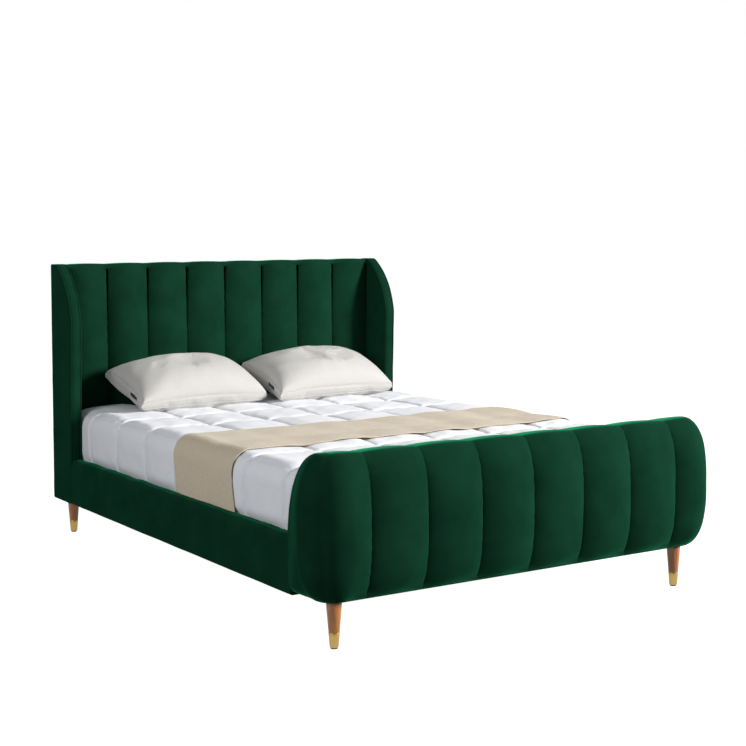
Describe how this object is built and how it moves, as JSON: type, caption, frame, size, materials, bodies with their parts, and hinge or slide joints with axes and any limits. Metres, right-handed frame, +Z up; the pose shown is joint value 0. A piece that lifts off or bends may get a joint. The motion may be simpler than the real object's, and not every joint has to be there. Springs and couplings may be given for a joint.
{
  "type": "upholstered headboard bed",
  "caption": "Wingback bed with a channel-tufted headboard and bowed footboard, padded side rails, slatted base, tapered legs with metal tips, and its mattress, quilt, band and pillows.",
  "frame": {"origin": "on the floor, under the middle of the bed's outer box", "axes": "+X to the right seen from the foot, +Y from the foot towards the headboard and its wall, +Z up"},
  "size_m": [1.78, 2.394, 1.208],
  "materials": {
    "velvet": "short-pile velvet with a soft sheen",
    "dust_cloth": "matt non-woven cloth",
    "pine": "planed, unfinished",
    "plywood": "sanded",
    "zinc_steel": "satin",
    "leg_wood": "satin varnish",
    "brass_tip": "brushed satin",
    "black_plastic": "matt",
    "mattress_cloth": "knitted ticking",
    "quilt_cotton": "matt cotton",
    "runner_weave": "matt plain weave",
    "pillow_cotton": "matt cotton"
  },
  "bodies": {
    "bed_frame": {"beam_hangers": "zinc_steel", "bed_bolts": "zinc_steel", "centre_beam": "pine", "centre_legs": "zinc_steel", "corner_brackets": "zinc_steel", "foot_back_cover": "velvet", "foot_base_cover": "dust_cloth", "foot_channel_1": "velvet", "foot_channel_2": "velvet", "foot_channel_3": "velvet", "foot_channel_4": "velvet", "foot_channel_5": "velvet", "foot_channel_6": "velvet", "foot_channel_7": "velvet", "foot_channel_8": "velvet", "foot_form": "plywood", "foot_panel": "plywood", "foot_posts": "pine", "foot_rails": "pine", "foot_ribs": "plywood", "head_back_cover": "dust_cloth", "head_channel_1": "velvet", "head_channel_2": "velvet", "head_channel_3": "velvet", "head_channel_4": "velvet", "head_channel_5": "velvet", "head_channel_6": "velvet", "head_channel_7": "velvet", "head_channel_8": "velvet", "head_panel": "plywood", "head_posts": "pine", "head_rails": "pine", "ledger_left": "pine", "ledger_right": "pine", "leg_back_left": "leg_wood", "leg_back_right": "leg_wood", "leg_bolts": "zinc_steel", "leg_ferrules": "brass_tip", "leg_front_left": "leg_wood", "leg_front_right": "leg_wood", "leg_glides": "black_plastic", "leg_plates": "zinc_steel", "rail_board_left": "pine", "rail_board_right": "pine", "rail_cover_left": "velvet", "rail_cover_right": "velvet", "slat_screws": "zinc_steel", "slats": "pine", "wing_cores": "plywood", "wing_left": "velvet", "wing_right": "velvet"},
    "mattress": {"mattress": "mattress_cloth"},
    "comforter": {"comforter": "quilt_cotton"},
    "runner": {"runner": "runner_weave"},
    "pillow_left": {"pillow_left": "pillow_cotton"},
    "pillow_right": {"pillow_right": "pillow_cotton"},
    "levelling_foot_1": {"levelling_foot_1": "black_plastic"},
    "levelling_foot_2": {"levelling_foot_2": "black_plastic"},
    "levelling_foot_3": {"levelling_foot_3": "black_plastic"}
  },
  "joints": [
    {"name": "mattress_lift", "type": "slide", "parent": "bed_frame", "child": "mattress", "axis": [0, 0, 1], "range_m": [0, 0.45]},
    {"name": "comforter_lift", "type": "slide", "parent": "mattress", "child": "comforter", "axis": [0, 0, 1], "range_m": [0, 0.3]},
    {"name": "runner_lift", "type": "slide", "parent": "comforter", "child": "runner", "axis": [0, 0, 1], "range_m": [0, 0.25]},
    {"name": "pillow_left_lift", "type": "slide", "parent": "comforter", "child": "pillow_left", "axis": [0, 0, 1], "range_m": [0, 0.3]},
    {"name": "pillow_right_lift", "type": "slide", "parent": "comforter", "child": "pillow_right", "axis": [0, 0, 1], "range_m": [0, 0.3]},
    {"name": "levelling_foot_1_screw", "type": "slide", "parent": "bed_frame", "child": "levelling_foot_1", "axis": [0, 0, -1], "range_m": [0, 0.012]},
    {"name": "levelling_foot_2_screw", "type": "slide", "parent": "bed_frame", "child": "levelling_foot_2", "axis": [0, 0, -1], "range_m": [0, 0.012]},
    {"name": "levelling_foot_3_screw", "type": "slide", "parent": "bed_frame", "child": "levelling_foot_3", "axis": [0, 0, -1], "range_m": [0, 0.012]}
  ]
}
